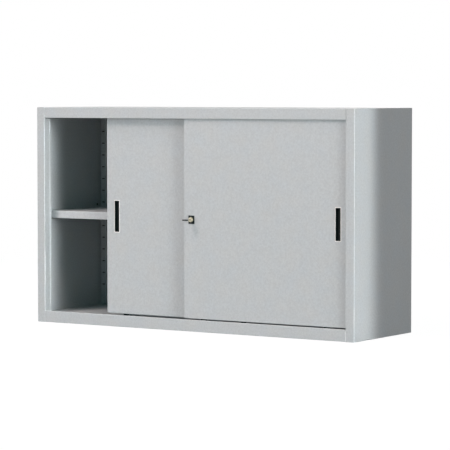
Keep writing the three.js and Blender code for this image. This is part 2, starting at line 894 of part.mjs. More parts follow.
function leftDoor() {
  const group = door('left', leftDoorX, leftDoorY, leftPullInset - doorWidth / 2, []);
  const lockFromRight = doorOverlap - lockInset;
  const keeperX = doorWidth / 2 - lockFromRight;
  group.add(piece('lock_keeper', lockKeeper(), zincSteel, [keeperX, 0, lockHeight]));
  return group;
}

function rightDoor() {
  const group = door('right', rightDoorX, rightDoorY, doorWidth / 2 - rightPullInset, [lockHole()]);
  const lock = new THREE.Group();
  lock.position.set(lockX, 0, lockHeight);
  lock.add(
    piece('lock_plate', lockPlate(), blackPlastic),
    piece('lock_barrel', lockBarrel(), nickel),
    piece('lock_nut', lockNut(), zincSteel),
    piece('lock_plug', lockPlug(), nickel),
    piece('lock_cam', lockCam(), zincSteel),
    piece('lock_cam_screw', lockCamScrew(), zincSteel),
    piece('lock_key', lockKey(), darkSteel),
    piece('lock_key_bow', lockKeyBow(), blackPlastic),
  );
  group.add(lock);
  return group;
}

const cabinet = new THREE.Group();
cabinet.add(carcass(), leftDoor(), rightDoor());

export default cabinet;
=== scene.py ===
"""Dresses a low steel cabinet with two sliding doors and sets it in a pale studio.

All sheet metal and most fittings keep the frame's own solids, with eased edges and a finish.
The pulls and their frames, the lock's plate and barrel, the rollers and the wall plug are
modelled again in finer form. Lengths are metres, front towards -Y, +Z up.
"""

import json
import math

import bmesh
import bpy
from bpy.props import FloatProperty, FloatVectorProperty, PointerProperty
from mathutils import Matrix, Vector


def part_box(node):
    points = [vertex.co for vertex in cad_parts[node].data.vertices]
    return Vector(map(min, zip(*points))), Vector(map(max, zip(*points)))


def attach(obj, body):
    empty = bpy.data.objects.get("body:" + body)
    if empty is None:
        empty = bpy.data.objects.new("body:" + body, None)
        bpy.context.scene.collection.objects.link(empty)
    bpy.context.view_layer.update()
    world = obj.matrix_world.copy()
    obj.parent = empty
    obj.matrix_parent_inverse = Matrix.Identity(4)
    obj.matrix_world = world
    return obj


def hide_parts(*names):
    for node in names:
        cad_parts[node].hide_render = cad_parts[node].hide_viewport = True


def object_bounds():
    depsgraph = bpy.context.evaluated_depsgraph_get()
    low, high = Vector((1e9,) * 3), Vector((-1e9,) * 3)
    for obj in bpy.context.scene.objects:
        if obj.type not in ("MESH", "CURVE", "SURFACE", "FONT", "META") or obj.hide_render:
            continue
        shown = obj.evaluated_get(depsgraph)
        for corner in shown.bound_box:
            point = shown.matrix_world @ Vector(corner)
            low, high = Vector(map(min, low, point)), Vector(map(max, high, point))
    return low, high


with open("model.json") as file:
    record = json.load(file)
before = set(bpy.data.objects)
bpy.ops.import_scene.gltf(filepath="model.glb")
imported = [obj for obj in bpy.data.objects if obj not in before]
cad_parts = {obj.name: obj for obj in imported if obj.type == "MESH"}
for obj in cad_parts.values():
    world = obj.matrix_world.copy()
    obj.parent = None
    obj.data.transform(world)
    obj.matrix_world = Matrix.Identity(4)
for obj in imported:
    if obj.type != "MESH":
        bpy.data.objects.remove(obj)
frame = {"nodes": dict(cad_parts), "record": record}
cad_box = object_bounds()

bl_info = {
    "name": "Sliding Door Cabinet",
    "version": (1, 0, 0),
    "blender": (4, 5, 0),
    "location": "View3D > Sidebar > Cabinet",
    "description": "Builds the finish of a steel sliding door cabinet and its studio",
    "category": "Object",
}

MILLIMETRE = 0.001


def linear(colour):
    """Scene linear values of a display colour given from 0 to 1."""
    return tuple(c / 12.92 if c <= 0.04045 else ((c + 0.055) / 1.055) ** 2.4 for c in colour)


slot_colour = {
    material["slot"]: linear(material["base_color"]) for material in frame["record"]["materials"]}


# Settings


class CabinetPaint(bpy.types.PropertyGroup):
    """Colour and texture of the sprayed paint"""

    carcass: FloatVectorProperty(
        name="Carcass", description="Paint on the carcass", subtype="COLOR",
        default=linear((0.74, 0.765, 0.769)), min=0, max=1)
    doors: FloatVectorProperty(
        name="Doors", description="Paint on both doors", subtype="COLOR",
        default=linear((0.74, 0.765, 0.769)), min=0, max=1)
    # The shelf's paint is a touch lighter than the carcass's: painted light that makes up for the shade
    # on the set-back shelf
    shelf: FloatVectorProperty(
        name="Shelf", description="Paint on the shelf", subtype="COLOR",
        default=linear((0.745, 0.77, 0.775)), min=0, max=1)
    # Bare steel inside the racks' hollows, dark enough to serve as painted shade in the slots
    bare_steel_and_shade: FloatVectorProperty(
        name="Bare steel", description="Steel that the spray can't reach, inside the racks",
        subtype="COLOR", default=linear((0.2, 0.21, 0.21)), min=0, max=1)
    roughness: FloatProperty(
        name="Roughness", description="Gloss of the paint, from mirror to matt",
        default=0.48, min=0, max=1, subtype="FACTOR")
    grain_size: FloatProperty(
        name="Grain size", description="Width of one cloud in the paint's mottling",
        default=7 * MILLIMETRE, unit="LENGTH")
    grain_contrast: FloatProperty(
        name="Grain contrast", description="How far the mottling lightens and darkens the colour",
        default=0.17, min=0, max=1, subtype="FACTOR")
    drift_size: FloatProperty(
        name="Tint drift size", description="Width of the patches that lean warm or cool",
        default=70 * MILLIMETRE, unit="LENGTH")
    drift_contrast: FloatProperty(
        name="Tint drift", description="How far the patches lean warm or cool",
        default=0.03, min=0, max=1, subtype="FACTOR")
    # Fold gain paints a highlight into the colour where the paint runs over a rounded fold
    fold_highlight_gain: FloatProperty(
        name="Fold gain", description="How much lighter the paint is where it runs over a fold",
        default=0.3, min=0, subtype="FACTOR")
    peel_size: FloatProperty(
        name="Orange peel size", description="Width of one bump in the paint's surface",
        default=2.2 * MILLIMETRE, unit="LENGTH")
    peel_height: FloatProperty(
        name="Orange peel height", description="Height of the bumps in the paint's surface",
        default=0.05 * MILLIMETRE, unit="LENGTH")


class CabinetFittings(bpy.types.PropertyGroup):
    """Colours and edge sizes of the fittings"""

    zinc: FloatVectorProperty(
        name="Zinc", description="Zinc plated steel of the tracks, brackets, axles and lock cam",
        subtype="COLOR", default=slot_colour["zinc_steel"], min=0, max=1)
    nickel: FloatVectorProperty(
        name="Nickel", description="Plating of the lock's barrel and plug", subtype="COLOR",
        default=linear((0.75, 0.74, 0.66)), min=0, max=1)
    dark_steel: FloatVectorProperty(
        name="Dark steel", description="Blade of the key and shelf clips", subtype="COLOR",
        default=slot_colour["dark_steel"], min=0, max=1)
    nylon: FloatVectorProperty(
        name="Nylon", description="Top guides", subtype="COLOR",
        default=slot_colour["nylon"], min=0, max=1)
    black_plastic: FloatVectorProperty(
        name="Black plastic", description="Pulls, rollers, lock plate and bow of the key",
        subtype="COLOR", default=slot_colour["black_plastic"], min=0, max=1)
    pale_plastic: FloatVectorProperty(
        name="Pale plastic", description="Frames round the pulls", subtype="COLOR",
        default=linear((0.95, 0.95, 0.93)), min=0, max=1)
    rubber: FloatVectorProperty(
        name="Rubber", description="Plug in the left wall", subtype="COLOR",
        default=slot_colour["dark_rubber"], min=0, max=1)
    sheet_edge: FloatProperty(
        name="Sheet edge", description="Easing of the cut edges of the painted sheet",
        default=0.2 * MILLIMETRE, unit="LENGTH")


class CabinetStudio(bpy.types.PropertyGroup):
    """Camera and light of the studio"""

    camera_place: FloatVectorProperty(
        name="Camera place", description="Where the camera stands", subtype="XYZ", unit="LENGTH",
        default=(5.115, -7.794, 0.94))
    camera_turn: FloatProperty(
        name="Camera turn", description="How far the camera is turned from looking straight at the front",
        default=math.radians(33.157), subtype="ANGLE")
    camera_dip: FloatProperty(
        name="Camera dip", description="How far the camera looks down",
        default=math.radians(3.256), subtype="ANGLE")
    camera_roll: FloatProperty(
        name="Camera roll", description="How far the camera leans to the left",
        default=math.radians(-0.008), subtype="ANGLE")
    lens: FloatProperty(
        name="Focal length", description="Focal length in millimetres on a 36 mm sensor",
        default=186.37, min=1)
    backdrop: FloatVectorProperty(
        name="Backdrop", description="Colour of the floor and the backdrop", subtype="COLOR",
        default=(1.0, 1.0, 1.0), min=0, max=1)
    room_light: FloatVectorProperty(
        name="Room light", description="Faint light that comes from all round", subtype="COLOR",
        default=(0.0, 0.1, 0.1), min=0, max=1)
    lamp_distance: FloatProperty(
        name="Lamp distance", description="How far the soft lamps stand from the cabinet",
        default=12.0, min=1, unit="LENGTH")
    lamp_size: FloatProperty(
        name="Lamp size", description="Side of each soft lamp",
        default=3.6, min=0, unit="LENGTH")
    beam_reach: FloatProperty(
        name="Beam reach", description="How far back on the right side the narrow beam reaches",
        default=148 * MILLIMETRE, min=0, unit="LENGTH")
    shadow_share: FloatProperty(
        name="Shadow share", description="How strongly the floor shows the shadow of the cabinet",
        default=0.2, min=0, max=1, subtype="FACTOR")


# Materials


# Sockets for colours of the Mix node, which share their names with its sockets for numbers
FIRST_COLOUR = 6
SECOND_COLOUR = 7
MIXED_COLOUR = 2

# Most of a noise lies between these two values
NOISE_LOW = 0.25
NOISE_HIGH = 0.75


def new_material(name):
    """A new material with its node tree and its shader."""
    material = bpy.data.materials.new(name)
    material.use_nodes = True
    shader = material.node_tree.nodes["Principled BSDF"]
    return material, material.node_tree, shader


def surface_place(tree):
    """Place on the object itself, so that the texture moves with the piece."""
    return tree.nodes.new("ShaderNodeTexCoord").outputs["Object"]


def stretched(tree, place, factors):
    """The place with each of its three numbers multiplied by a factor."""
    node = tree.nodes.new("ShaderNodeMapping")
    node.inputs["Scale"].default_value = factors
    tree.links.new(place, node.inputs["Vector"])
    return node.outputs["Vector"]


def noise(tree, place, size, detail=2.0):
    """Soft noise with clouds of that size."""
    node = tree.nodes.new("ShaderNodeTexNoise")
    node.inputs["Scale"].default_value = 1 / size
    node.inputs["Detail"].default_value = detail
    tree.links.new(place, node.inputs["Vector"])
    return node.outputs["Fac"]


def maths(tree, operation, *values):
    """Result of a Math node. Each value is a number or another node's output."""
    node = tree.nodes.new("ShaderNodeMath")
    node.operation = operation
    for socket, value in zip(node.inputs, values):
        if isinstance(value, bpy.types.NodeSocket):
            tree.links.new(value, socket)
        else:
            socket.default_value = value
    return node.outputs["Value"]


def ranged(tree, value, start, end, low=0.0, high=1.0, curve="LINEAR"):
    """A number that runs from low to high while the value runs from start to end."""
    node = tree.nodes.new("ShaderNodeMapRange")
    node.interpolation_type = curve
    node.inputs["From Min"].default_value = start
    node.inputs["From Max"].default_value = end
    node.inputs["To Min"].default_value = low
    node.inputs["To Max"].default_value = high
    tree.links.new(value, node.inputs["Value"])
    return node.outputs["Result"]


def between(tree, share, low, high):
    """A number that runs from low to high with a noise."""
    return ranged(tree, share, NOISE_LOW, NOISE_HIGH, low, high)


def split(tree, vector):
    """The three numbers of a vector."""
    node = tree.nodes.new("ShaderNodeSeparateXYZ")
    tree.links.new(vector, node.inputs["Vector"])
    return node.outputs["X"], node.outputs["Y"], node.outputs["Z"]


def blended(tree, share, first, second, blend="MIX"):
    """First colour at share 0, second at share 1. Each is a colour or another node's output."""
    node = tree.nodes.new("ShaderNodeMix")
    node.data_type = "RGBA"
    node.blend_type = blend
    if isinstance(share, float):
        node.inputs["Factor"].default_value = share
    else:
        tree.links.new(share, node.inputs["Factor"])
    for number, value in ((FIRST_COLOUR, first), (SECOND_COLOUR, second)):
        if isinstance(value, bpy.types.NodeSocket):
            tree.links.new(value, node.inputs[number])
        else:
            node.inputs[number].default_value = (*value, 1.0)
    return node.outputs[MIXED_COLOUR]


def bumped(tree, shader, height, depth, strength=1.0):
    """Gives the shader bumps of that depth where the height runs from 0 to 1."""
    node = tree.nodes.new("ShaderNodeBump")
    node.inputs["Strength"].default_value = strength
    node.inputs["Distance"].default_value = depth
    tree.links.new(height, node.inputs["Height"])
    tree.links.new(node.outputs["Normal"], shader.inputs["Normal"])


def scaled(colour, factors):
    """The colour with red, green and blue each multiplied by a factor."""
    return tuple(min(1.0, c * f) for c, f in zip(colour, factors))


def fold_highlight_share(tree):
    """Mask of the painted highlight on folds: 1 where the surface leans away from the object's axes, as
    it does on a fold, else 0.
    """
    flat = 0.995
    folded = 0.93
    normal = tree.nodes.new("ShaderNodeTexCoord").outputs["Normal"]
    size = tree.nodes.new("ShaderNodeVectorMath")
    size.operation = "ABSOLUTE"
    tree.links.new(normal, size.inputs[0])
    x, y, z = split(tree, size.outputs["Vector"])
    largest = maths(tree, "MAXIMUM", maths(tree, "MAXIMUM", x, y), z)
    return ranged(tree, largest, flat, folded)


def within(tree, value, low, high):
    """1 where the value lies from low to high, else 0."""
    return maths(tree, "COMPARE", value, (low + high) / 2, (high - low) / 2)


def hollow_shade_share(tree, place):
    """1 inside the hollows of the slotted racks, where the spray can't reach, else 0. The colour there is
    bare steel and painted shade, which keeps the slots dark.

    It takes in the panels behind the racks, as far as they show through the slots, and darkens them with
    the same painted shade. The racks on the left mirror those on the right.
    """
    skin = 0.7 * MILLIMETRE
    back_reach = 1.3 * MILLIMETRE
    rear_low, rear_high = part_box("right_rear_rack")
    front_low, front_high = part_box("right_front_rack")
    x, y, z = split(tree, place)
    across = within(tree, maths(tree, "ABSOLUTE", x), rear_low[0] + skin, rear_high[0] + skin)
    rear = within(tree, y, rear_low[1] + skin, rear_high[1] + back_reach)
    front = within(tree, y, front_low[1] + skin, front_high[1] - skin)
    along = maths(tree, "MAXIMUM", rear, front)
    up = within(tree, z, rear_low[2], rear_high[2])
    return maths(tree, "MULTIPLY", maths(tree, "MULTIPLY", up, across), along)


def textured_paint(name, colour):
    """Sprayed paint: fine mottling, patches that lean warm or cool, a painted highlight on the folds,
    orange peel.

    It leaves the steel bare inside the hollows of the slotted racks and darkens it there with painted
    shade.
    """
    paint = bpy.context.scene.cabinet_paint
    gloss_spread = 0.04
    material, tree, shader = new_material(name)
    place = surface_place(tree)
    lean = paint.drift_contrast
    warm = scaled(colour, (1 + lean / 2, 1, 1 - lean / 2))
    cool = scaled(colour, (1 - lean / 2, 1, 1 + lean / 2))
    drift = between(tree, noise(tree, place, paint.drift_size, 1.0), 0.0, 1.0)
    tint = blended(tree, drift, cool, warm)
    grain = noise(tree, place, paint.grain_size, 3.0)
    shade = between(tree, grain, 1 - paint.grain_contrast / 2, 1 + paint.grain_contrast / 2)
    mottled = blended(tree, 1.0, tint, shade, "MULTIPLY")
    # Painted highlight: the colour is lightened on folds, where a rounded edge would catch the light
    gain = 1 + paint.fold_highlight_gain
    lighter = blended(tree, 1.0, mottled, (gain, gain, gain), "MULTIPLY")
    coat = blended(tree, fold_highlight_share(tree), mottled, lighter)
    # Bare steel and painted shade inside the racks' hollows, so the slots stay dark
    coat = blended(tree, hollow_shade_share(tree, place), coat, paint.bare_steel_and_shade)
    tree.links.new(coat, shader.inputs["Base Color"])
    gloss = between(tree, grain, paint.roughness - gloss_spread, paint.roughness + gloss_spread)
    tree.links.new(gloss, shader.inputs["Roughness"])
    bumped(tree, shader, noise(tree, place, paint.peel_size), paint.peel_height)
    return material


def plated_steel(name, colour, roughness):
    """Bright plating over drawn steel, with faint lines along X and dull clouds."""
    line_width = 0.6 * MILLIMETRE
    line_height = 0.02 * MILLIMETRE
    line_stretch = (0.05, 1, 1)
    cloud_size = 12 * MILLIMETRE
    dull = scaled(colour, (0.88, 0.88, 0.9))
    bright = scaled(colour, (1.08, 1.07, 1.05))
    material, tree, shader = new_material(name)
    place = surface_place(tree)
    lines = noise(tree, stretched(tree, place, line_stretch), line_width, 3.0)
    tint = blended(tree, noise(tree, place, cloud_size), dull, bright)
    gloss = between(tree, lines, roughness - 0.06, roughness + 0.08)
    tree.links.new(tint, shader.inputs["Base Color"])
    tree.links.new(gloss, shader.inputs["Roughness"])
    shader.inputs["Metallic"].default_value = 1.0
    bumped(tree, shader, lines, line_height, 0.5)
    return material


def moulded_plastic(name, colour, roughness, grain_size, specular):
    """Moulded plastic or rubber with a fine spark grain."""
    contrast = 0.15
    gloss_spread = 0.05
    grain_depth = grain_size / 20
    material, tree, shader = new_material(name)
    speckle = noise(tree, surface_place(tree), grain_size)
    dark = scaled(colour, (1 - contrast,) * 3)
    light = scaled(colour, (1 + contrast,) * 3)
    gloss = between(tree, speckle, roughness - gloss_spread, roughness + gloss_spread)
    tree.links.new(blended(tree, speckle, dark, light), shader.inputs["Base Color"])
    tree.links.new(gloss, shader.inputs["Roughness"])
    shader.inputs["Specular IOR Level"].default_value = specular
    bumped(tree, shader, speckle, grain_depth, 0.6)
    return material


def finish_of(slot):
    """The material of a slot, made when it is first asked for."""
    name = f"cabinet_{slot}"
    if name in bpy.data.materials:
        return bpy.data.materials[name]
    paint = bpy.context.scene.cabinet_paint
    fittings = bpy.context.scene.cabinet_fittings
    painted = {"carcass_paint": paint.carcass, "door_paint": paint.doors, "shelf_paint": paint.shelf}
    # Colour and roughness
    plated = {
        "zinc_steel": (fittings.zinc, 0.38),
        "dark_steel": (fittings.dark_steel, 0.42),
        "nickel": (fittings.nickel, 0.6),
    }
    # Colour, roughness, size of the grain and strength of the gloss
    moulded = {
        "nylon": (fittings.nylon, 0.45, 1.5 * MILLIMETRE, 0.5),
        "black_plastic": (fittings.black_plastic, 0.5, 0.8 * MILLIMETRE, 0.15),
        "pale_plastic": (fittings.pale_plastic, 0.4, 0.8 * MILLIMETRE, 0.5),
        "dark_rubber": (fittings.rubber, 0.7, 1.0 * MILLIMETRE, 0.5),
    }
    if slot in painted:
        return textured_paint(name, painted[slot])
    if slot in plated:
        return plated_steel(name, *plated[slot])
    if slot in moulded:
        return moulded_plastic(name, *moulded[slot])
    raise ValueError(f"no finish is known for slot {slot}")


# Pieces that keep the frame's own solid


slot_of = {part["node"]: part["material_slot"] for part in frame["record"]["subparts"]}


def dress(name, edge):
    """Gives a CAD node its finish, smooth folds and eased edges."""
    same_point = 0.001 * MILLIMETRE
    sharpest_fold = 35
    piece = frame["nodes"][name]
    mesh = piece.data
    mesh.materials.clear()
    mesh.materials.append(finish_of(slot_of[name]))
    if "custom_normal" in mesh.attributes:
        mesh.attributes.remove(mesh.attributes["custom_normal"])
    mesh.shade_smooth()
    weld = piece.modifiers.new("weld", "WELD")
    weld.merge_threshold = same_point
    bevel = piece.modifiers.new("eased edges", "BEVEL")
    bevel.width = edge
    bevel.segments = 2
    bevel.limit_method = "ANGLE"
    bevel.angle_limit = math.radians(sharpest_fold)
    bevel.use_clamp_overlap = True
    flat = piece.modifiers.new("flat faces", "WEIGHTED_NORMAL")
    flat.keep_sharp = True


def dress_all(names, edge=None):
    """Dresses each named node, with the sheet's easing where no other width is given."""
    width = edge or bpy.context.scene.cabinet_fittings.sheet_edge
    for name in names:
        if name not in frame["nodes"]:
            raise RuntimeError(f"the frame has no piece named {name}")
        dress(name, width)
    return {"FINISHED"}


# Pieces modelled again in finer form


body_of = {
    node: body for body, nodes in frame["record"]["behaviour"]["bodies"].items() for node in nodes}


def rounded_outline(wide, high, radius, corner_steps=8, side_steps=1):
    """Rounded rectangle round (0, 0), counterclockwise from its right side."""
    across = wide / 2 - radius
    up = high / 2 - radius
    corners = ((across, up), (-across, up), (-across, -up), (across, -up))
    points = []
    for number, (x, z) in enumerate(corners):
        arc = []
        for step in range(corner_steps + 1):
            turn = math.pi / 2 * (number + step / corner_steps)
            arc.append(Vector((x + radius * math.cos(turn), z + radius * math.sin(turn))))
        if points:
            points += straight_steps(points[-1], arc[0], side_steps)
        points += arc
    return points + straight_steps(points[-1], points[0], side_steps)


def straight_steps(start, end, count):
    """Points between start and end, without the two ends."""
    return [start.lerp(end, step / count) for step in range(1, count)]


def inset_outline(low, high, inset, radius, *steps):
    """Rounded front of a box, drawn in by an inset. Inset and radius are in millimetres."""
    return rounded_outline(
        high[0] - low[0] - 2 * inset * MILLIMETRE, high[2] - low[2] - 2 * inset * MILLIMETRE,
        radius * MILLIMETRE, *steps)


def circle_outline(radius, steps=64):
    """Circle round (0, 0)."""
    turns = [2 * math.pi * step / steps for step in range(steps)]
    return [Vector((radius * math.cos(turn), radius * math.sin(turn))) for turn in turns]


def lofted(name, rings, hollow):
    """Closed mesh through rings of points, each ring with the same count.

    A hollow one joins its last ring to its first, and the other gets a lid at each end.
    """
    sharp_angle = 40
    count = len(rings[0])
    points = [point for ring in rings for point in ring]
    faces = []
    pairs = list(zip(range(len(rings) - 1), range(1, len(rings))))
    if hollow:
        pairs.append((len(rings) - 1, 0))
    for first, second in pairs:
        for step in range(count):
            after = (step + 1) % count
            faces.append((
                first * count + step, first * count + after,
                second * count + after, second * count + step))
    if not hollow:
        faces.append(tuple(range(count)))
        faces.append(tuple((len(rings) - 1) * count + step for step in range(count)))
    mesh = bpy.data.meshes.new(name)
    mesh.from_pydata(points, [], faces)
    form = bmesh.new()
    form.from_mesh(mesh)
    bmesh.ops.recalc_face_normals(form, faces=form.faces)
    form.to_mesh(mesh)
    form.free()
    mesh.shade_smooth()
    mesh.set_sharp_from_angle(angle=math.radians(sharp_angle))
    piece = bpy.data.objects.new(name, mesh)
    bpy.context.scene.collection.objects.link(piece)
    return piece


def stand_in(piece, node):
    """The finer piece takes the node's finish, place in the motion and visibility."""
    piece.data.materials.append(finish_of(slot_of[node]))
    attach(piece, body_of[node])
    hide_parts(node)


def facing_front(outline, centre, y):
    """Ring in the upright plane at y."""
    return [(centre[0] + x, y, centre[1] + z) for x, z in outline]


def middle_of(low, high):
    """Centre of a box as it is seen from the front."""
    return ((low[0] + high[0]) / 2, (low[2] + high[2]) / 2)


def fine_pull(side):
    """Cup with drawn-in walls, a rounded bottom and a rolled rim."""
    node = f"{side}_door_pull"
    low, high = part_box(node)
    front = low[1]
    back = high[1]
    rim = front + 1.2 * MILLIMETRE
    # Inset, corner radius and y, from the back of the cup over its rim to its inside
    profile = (
        (3.3, 1.0, back), (2.6, 1.2, back - 0.1 * MILLIMETRE), (2.1, 1.5, back - 0.6 * MILLIMETRE),
        (1.8, 1.8, back - 1.4 * MILLIMETRE), (1.0, 2.2, rim), (0, 2.5, rim),
        (0, 2.5, front + 0.5 * MILLIMETRE), (0.12, 2.5, front + 0.2 * MILLIMETRE),
        (0.4, 2.4, front), (1.3, 2.1, front), (1.75, 1.9, front + 0.12 * MILLIMETRE),
        (2.1, 1.7, front + 0.5 * MILLIMETRE), (2.2, 1.5, rim),
        (2.9, 1.4, back - 2.8 * MILLIMETRE), (3.2, 1.3, back - 1.8 * MILLIMETRE),
        (3.9, 1.1, back - 1.3 * MILLIMETRE), (4.8, 1.0, back - 1.2 * MILLIMETRE))
    rings = [
        facing_front(inset_outline(low, high, inset, radius), middle_of(low, high), y)
        for inset, radius, y in profile]
    stand_in(lofted(f"{side}_pull_cup", rings, hollow=False), node)


def fine_pull_frame(side):
    """Flat frame with rounded edges that lies round the rim of the pull."""
    node = f"{side}_door_pull_frame"
    low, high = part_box(node)
    front = low[1]
    back = high[1]
    corner = 5.7
    # Inset and y, from the back over the front to the opening
    profile = (
        (0, back), (0, front + 0.6 * MILLIMETRE), (0.15, front + 0.25 * MILLIMETRE),
        (0.5, front + 0.06 * MILLIMETRE), (1.0, front), (2.3, front),
        (2.8, front + 0.1 * MILLIMETRE), (3.1, front + 0.35 * MILLIMETRE),
        (3.2, front + 0.7 * MILLIMETRE), (3.2, back))
    rings = [
        facing_front(inset_outline(low, high, inset, corner - inset), middle_of(low, high), y)
        for inset, y in profile]
    stand_in(lofted(f"{side}_pull_trim", rings, hollow=True), node)


def fine_lock_plate():
    """Plate with rounded edges and a round hole for the barrel."""
    low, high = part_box("lock_plate")
    front = low[1]
    back = high[1]
    middle = middle_of(low, high)
    corner = 2.0
    bore = 8.75 * MILLIMETRE
    corner_steps = 6
    side_steps = 12
    # Inset and y, from the back to the front
    profile = (
        (0, back), (0, front + 0.9 * MILLIMETRE), (0.12, front + 0.5 * MILLIMETRE),
        (0.4, front + 0.15 * MILLIMETRE), (0.9, front))
    rings = []
    for inset, y in profile:
        outline = inset_outline(low, high, inset, corner - inset, corner_steps, side_steps)
        rings.append(facing_front(outline, middle, y))
    # The hole has one point straight inwards from each point of the last outline
    hole = [point.normalized() * bore for point in outline]
    rings += [facing_front(hole, middle, front), facing_front(hole, middle, back)]
    stand_in(lofted("lock_escutcheon", rings, hollow=True), "lock_plate")


def turned(name, node, profile):
    """Hollow piece turned about a line along Y, from radius and depth pairs in millimetres.

    Depth is measured back from the front of the node.
    """
    low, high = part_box(node)
    rings = [
        facing_front(
            circle_outline(radius * MILLIMETRE), middle_of(low, high), low[1] + depth * MILLIMETRE)
        for radius, depth in profile]
    stand_in(lofted(name, rings, hollow=True), node)


def fine_lock_barrel():
    """Barrel with a rolled edge and a turned groove on its collar."""
    low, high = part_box("lock_barrel")
    length = (high[1] - low[1]) / MILLIMETRE
    bore = 6.25
    sleeve = 8.5
    collar = 9.5
    collar_end = 7.0
    turned("lock_cylinder", "lock_barrel", (
        (bore, length), (bore, 0.3), (6.4, 0.08), (6.7, 0), (7.3, 0), (7.45, 0.2), (7.75, 0.2),
        (7.9, 0), (8.5, 0), (9.0, 0.12), (9.35, 0.45), (collar, 1.0), (collar, collar_end),
        (sleeve, collar_end), (sleeve, length - 0.3), (sleeve - 0.2, length)))


def fine_roller(node):
    """Grooved roller with a raised hub and a sunken web on both sides."""
    low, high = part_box(node)
    thick = (high[1] - low[1]) / MILLIMETRE
    bore = 2.75
    web_depth = 1.6
    tread = 16
    groove = 14
    half = (
        (bore, 0.6), (4.4, 0.6), (5.0, 0.8), (5.3, web_depth), (10.6, web_depth), (11.2, 1.2),
        (11.6, 0.25), (12.2, 0), (15.3, 0), (15.8, 0.15), (tread, 0.6), (tread, 1.35),
        (15.8, 1.55), (14.5, 1.75), (14.1, 2.0), (groove, 2.5))
    mirrored = tuple((radius, thick - depth) for radius, depth in reversed(half))
    turned(node.replace("roller", "wheel"), node, half + mirrored)


def fine_wall_plug():
    """Domed plug head against the inside of the left wall, with its shank in the hole."""
    low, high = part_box("left_wall_plug")
    centre = ((low[1] + high[1]) / 2, (low[2] + high[2]) / 2)
    outside = low[0]
    inside = high[0]
    shank = 3.25
    head = 4.5
    wall_face = inside - 1 * MILLIMETRE
    steps = 40
    # Radius and x, from outside the wall to the top of the dome
    profile = (
        (3.1, outside), (shank, outside + 0.2 * MILLIMETRE), (shank, wall_face),
        (head, wall_face), (head, inside - 0.7 * MILLIMETRE), (4.2, inside - 0.4 * MILLIMETRE),
        (3.4, inside - 0.15 * MILLIMETRE), (2.2, inside - 0.04 * MILLIMETRE), (1.0, inside))
    rings = [
        [(x, centre[0] + y, centre[1] + z) for y, z in circle_outline(radius * MILLIMETRE, steps)]
        for radius, x in profile]
    stand_in(lofted("wall_plug_button", rings, hollow=False), "left_wall_plug")


class CABINET_OT_carcass(bpy.types.Operator):
    """Paint the side, top, bottom and back panels"""

    bl_idname = "cabinet.carcass"
    bl_label = "Carcass"

    def execute(self, context):
        return dress_all((
            "left_side_panel", "right_side_panel", "top_panel", "bottom_panel", "back_panel"))


class CABINET_OT_stiffeners(bpy.types.Operator):
    """Paint the stiffeners under the floor, on the back and in the doors"""

    bl_idname = "cabinet.stiffeners"
    bl_label = "Stiffeners"

    def execute(self, context):
        return dress_all((
            "back_stiffener", "base_stiffener", "left_door_stiffener", "right_door_stiffener"))


class CABINET_OT_tracks(bpy.types.Operator):
    """Finish the running track below and the guide track above"""

    bl_idname = "cabinet.tracks"
    bl_label = "Tracks"

    def execute(self, context):
        return dress_all(("top_track", "bottom_track"))


class CABINET_OT_racks(bpy.types.Operator):
    """Paint the four slotted racks"""

    bl_idname = "cabinet.racks"
    bl_label = "Slotted racks"

    def execute(self, context):
        return dress_all((
            "left_front_rack", "left_rear_rack", "right_front_rack", "right_rear_rack"))


class CABINET_OT_shelf(bpy.types.Operator):
    """Paint the shelf and the stiffener under it"""

    bl_idname = "cabinet.shelf"
    bl_label = "Shelf"

    def execute(self, context):
        return dress_all(("shelf", "shelf_stiffener"))


class CABINET_OT_shelf_clips(bpy.types.Operator):
    """Finish the four clips that carry the shelf"""

    bl_idname = "cabinet.shelf_clips"
    bl_label = "Shelf clips"

    def execute(self, context):
        return dress_all((
            "left_front_shelf_clip", "left_rear_shelf_clip",
            "right_front_shelf_clip", "right_rear_shelf_clip"))


class CABINET_OT_wall_plug(bpy.types.Operator):
    """Make the rubber plug in the left wall"""

    bl_idname = "cabinet.wall_plug"
    bl_label = "Wall plug"

    def execute(self, context):
        fine_wall_plug()
        return {"FINISHED"}


class CABINET_OT_door_skins(bpy.types.Operator):
    """Paint the skins of both doors"""

    bl_idname = "cabinet.door_skins"
    bl_label = "Door skins"

    def execute(self, context):
        return dress_all(("left_door_skin", "right_door_skin"))


class CABINET_OT_pulls(bpy.types.Operator):
    """Make the recessed pull of each door and the frame round it"""

    bl_idname = "cabinet.pulls"
    bl_label = "Recessed pulls"

    def execute(self, context):
        for side in ("left", "right"):
            fine_pull(side)
            fine_pull_frame(side)
        return {"FINISHED"}


class CABINET_OT_running_gear(bpy.types.Operator):
    """Make the rollers of both doors and finish their axles, brackets and top guides"""

    bl_idname = "cabinet.running_gear"
    bl_label = "Running gear"

    def execute(self, context):
        guide_easing = 0.5 * MILLIMETRE
        corners = [f"{side}_door_{end}" for side in ("left", "right") for end in ("left", "right")]
        for corner in corners:
            fine_roller(f"{corner}_roller")
        dress_all((f"{corner}_guide" for corner in corners), guide_easing)
        return dress_all(f"{corner}_{part}" for corner in corners for part in ("bracket", "axle"))


class CABINET_OT_lock(bpy.types.Operator):
    """Make the lock's plate and barrel and finish the rest of the lock and its keeper"""

    bl_idname = "cabinet.lock"
    bl_label = "Lock"

    def execute(self, context):
        fine_lock_plate()
        fine_lock_barrel()
        return dress_all(("lock_nut", "lock_plug", "lock_cam", "lock_cam_screw", "lock_keeper"))


class CABINET_OT_key(bpy.types.Operator):
    """Finish the key in the lock and its moulded bow"""

    bl_idname = "cabinet.key"
    bl_label = "Key"

    def execute(self, context):
        bow_easing = 0.8 * MILLIMETRE
        dress_all(("lock_key_bow",), bow_easing)
        return dress_all(("lock_key",))


# Studio


